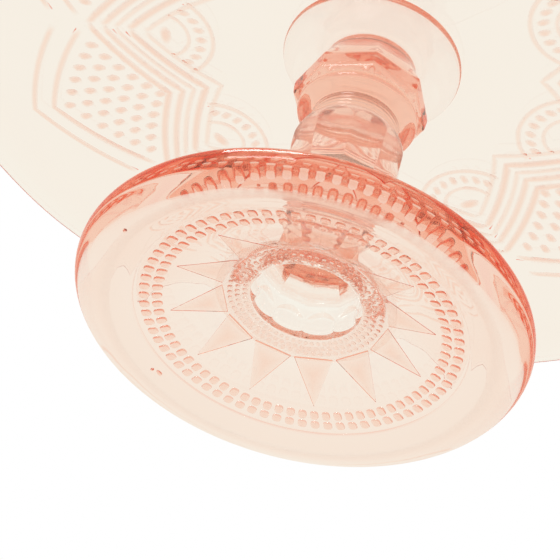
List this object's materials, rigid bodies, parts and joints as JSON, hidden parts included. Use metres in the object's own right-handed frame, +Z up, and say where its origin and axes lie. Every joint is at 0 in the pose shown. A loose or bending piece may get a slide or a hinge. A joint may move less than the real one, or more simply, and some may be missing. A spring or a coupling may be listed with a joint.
{
  "type": "footed glass dish",
  "caption": "Shallow pressed glass dish on a short faceted stem and a round foot, for serving sweets or small cakes.",
  "frame": {"origin": "middle of the plane that the foot rests on", "axes": "+Z up along the stem; +X and +Y lie in the resting plane, and the eight-sided collar has corners on them"},
  "size_m": [0.21, 0.21, 0.083],
  "materials": {
    "pink_glass": "fire-polished clear pink glass"
  },
  "bodies": {
    "root": {"foot": "pink_glass", "stem_base": "pink_glass", "knop": "pink_glass", "neck": "pink_glass", "collar": "pink_glass", "bowl_seat": "pink_glass", "bowl": "pink_glass"}
  },
  "joints": []
}
